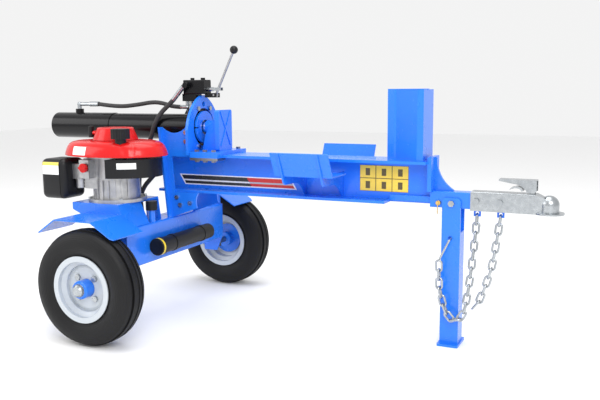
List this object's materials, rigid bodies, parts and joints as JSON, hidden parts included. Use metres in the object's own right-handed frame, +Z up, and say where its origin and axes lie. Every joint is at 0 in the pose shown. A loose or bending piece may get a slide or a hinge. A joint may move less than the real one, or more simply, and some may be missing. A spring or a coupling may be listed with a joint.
{
  "type": "log splitter",
  "caption": "Towable hydraulic log splitter: I-beam with ram, pusher and fixed wedge on a two-wheel oil tank axle, vertical-shaft engine, valve, folding leg and ball coupler.",
  "frame": {"origin": "on the ground below the middle of the machine's bounding box", "axes": "+X along the beam towards the tow coupler, +Y away from the engine side, +Z up"},
  "size_m": [2.086, 1.09, 1.0515],
  "materials": {
    "blue_paint": "gloss powder coat",
    "black_paint": "gloss paint",
    "white_wheel": "gloss paint",
    "zinc": "bright zinc plate",
    "steel": "machined",
    "chrome_rod": "hard chrome",
    "cast_aluminium": "as cast",
    "red_shell": "gloss",
    "black_plastic": "satin",
    "hose_rubber": "satin",
    "tyre_rubber": "matte",
    "brass_pin": "satin"
  },
  "bodies": {
    "frame": {"main_beam": "blue_paint", "side_plate_near": "blue_paint", "side_plate_far": "blue_paint", "cylinder_mount": "blue_paint", "log_cradle_near": "blue_paint", "log_cradle_far": "blue_paint", "wedge_knife": "blue_paint", "wedge_wings": "blue_paint", "tongue": "blue_paint", "retaining_ring": "blue_paint", "oil_tank": "blue_paint", "engine_deck": "blue_paint", "fender_near": "blue_paint", "fender_far": "blue_paint", "cylinder_barrel": "black_paint", "valve_body": "black_paint", "muffler": "black_paint", "coupler_body": "zinc", "safety_chain_front": "zinc", "safety_chain_rear": "zinc", "frame_bolts": "zinc", "hydraulic_fittings": "zinc", "cylinder_gland": "steel", "axle_spindles": "steel", "engine_crankcase": "cast_aluminium", "carburettor": "cast_aluminium", "hydraulic_pump": "cast_aluminium", "engine_cover": "red_shell", "starter_housing": "red_shell", "engine_fuel_tank": "black_plastic", "air_cleaner": "black_plastic", "manual_canister": "black_plastic", "rear_port_hose": "hose_rubber", "pressure_hose": "hose_rubber", "return_hose": "hose_rubber"},
    "ram": {"ram_rod": "chrome_rod", "ram_piston": "steel", "pusher": "blue_paint", "pusher_keepers": "steel"},
    "wheel_near": {"tyre_near": "tyre_rubber", "rim_near": "white_wheel", "hub_near": "blue_paint", "lug_bolts_near": "zinc", "hub_cap_near": "zinc"},
    "wheel_far": {"tyre_far": "tyre_rubber", "rim_far": "white_wheel", "hub_far": "blue_paint", "lug_bolts_far": "zinc", "hub_cap_far": "zinc"},
    "leg": {"support_leg": "blue_paint"},
    "pin": {"lock_pin": "brass_pin"},
    "latch": {"coupler_latch": "zinc"},
    "oil_cap": {"tank_cap": "black_plastic"},
    "grip": {"starter_grip": "black_plastic"},
    "petrol_cap": {"fuel_cap": "black_plastic"},
    "engine_knob": {"fuel_valve_knob": "red_shell"},
    "crank": {"crankshaft": "steel"},
    "spool": {"valve_spool": "zinc"},
    "lever": {"valve_lever": "steel", "lever_knob": "black_plastic"}
  },
  "joints": [
    {"name": "ram_stroke", "type": "slide", "parent": "frame", "child": "ram", "axis": [1, 0, 0], "range_m": [0, 0.59]},
    {"name": "near_wheel_spin", "type": "hinge", "parent": "frame", "child": "wheel_near", "pos_m": [-0.472, -0.4715, 0.207], "axis": [0, 1, 0], "continuous": true},
    {"name": "far_wheel_spin", "type": "hinge", "parent": "frame", "child": "wheel_far", "pos_m": [-0.472, 0.4715, 0.207], "axis": [0, 1, 0], "continuous": true},
    {"name": "leg_fold", "type": "hinge", "parent": "frame", "child": "leg", "pos_m": [0.681, 0.044, 0.499], "axis": [0, 1, 0], "range_deg": [0, 75]},
    {"name": "lock_pin_pull", "type": "slide", "parent": "frame", "child": "pin", "axis": [0, -1, 0], "range_m": [0, 0.15]},
    {"name": "coupler_latch_lift", "type": "hinge", "parent": "frame", "child": "latch", "pos_m": [0.94, 0.044, 0.571], "axis": [0, 1, 0], "range_deg": [0, 60]},
    {"name": "oil_cap_turn", "type": "hinge", "parent": "frame", "child": "oil_cap", "pos_m": [-0.428, -0.16, 0.448], "axis": [0, 0, 1], "range_deg": [0, 90]},
    {"name": "petrol_cap_turn", "type": "hinge", "parent": "frame", "child": "petrol_cap", "pos_m": [-0.452, -0.298, 0.724], "axis": [0, 0, 1], "range_deg": [0, 90]},
    {"name": "starter_pull", "type": "slide", "parent": "frame", "child": "grip", "axis": [-1, 0, 0], "range_m": [0, 0.05], "stiffness_N_per_m": 60},
    {"name": "engine_knob_turn", "type": "hinge", "parent": "frame", "child": "engine_knob", "pos_m": [-0.6, -0.322, 0.606], "axis": [0, -1, 0], "range_deg": [0, 90]},
    {"name": "crankshaft_spin", "type": "hinge", "parent": "frame", "child": "crank", "pos_m": [-0.542, -0.212, 0.5], "axis": [0, 0, 1], "continuous": true},
    {"name": "valve_lever_tilt", "type": "hinge", "parent": "frame", "child": "lever", "pos_m": [-0.255, 0.044, 0.866], "axis": [0, 1, 0], "range_deg": [-12, 12], "stiffness_Nm_per_rad": 6},
    {"name": "valve_spool_slide", "type": "slide", "parent": "frame", "child": "spool", "axis": [1, 0, 0], "range_m": [-0.006, 0.006]}
  ],
  "couplings": [
    {"joint": "lock_pin_pull", "follows": "leg_fold", "m_per_rad": 0.1145},
    {"joint": "valve_spool_slide", "follows": "valve_lever_tilt", "m_per_rad": 0.023}
  ]
}
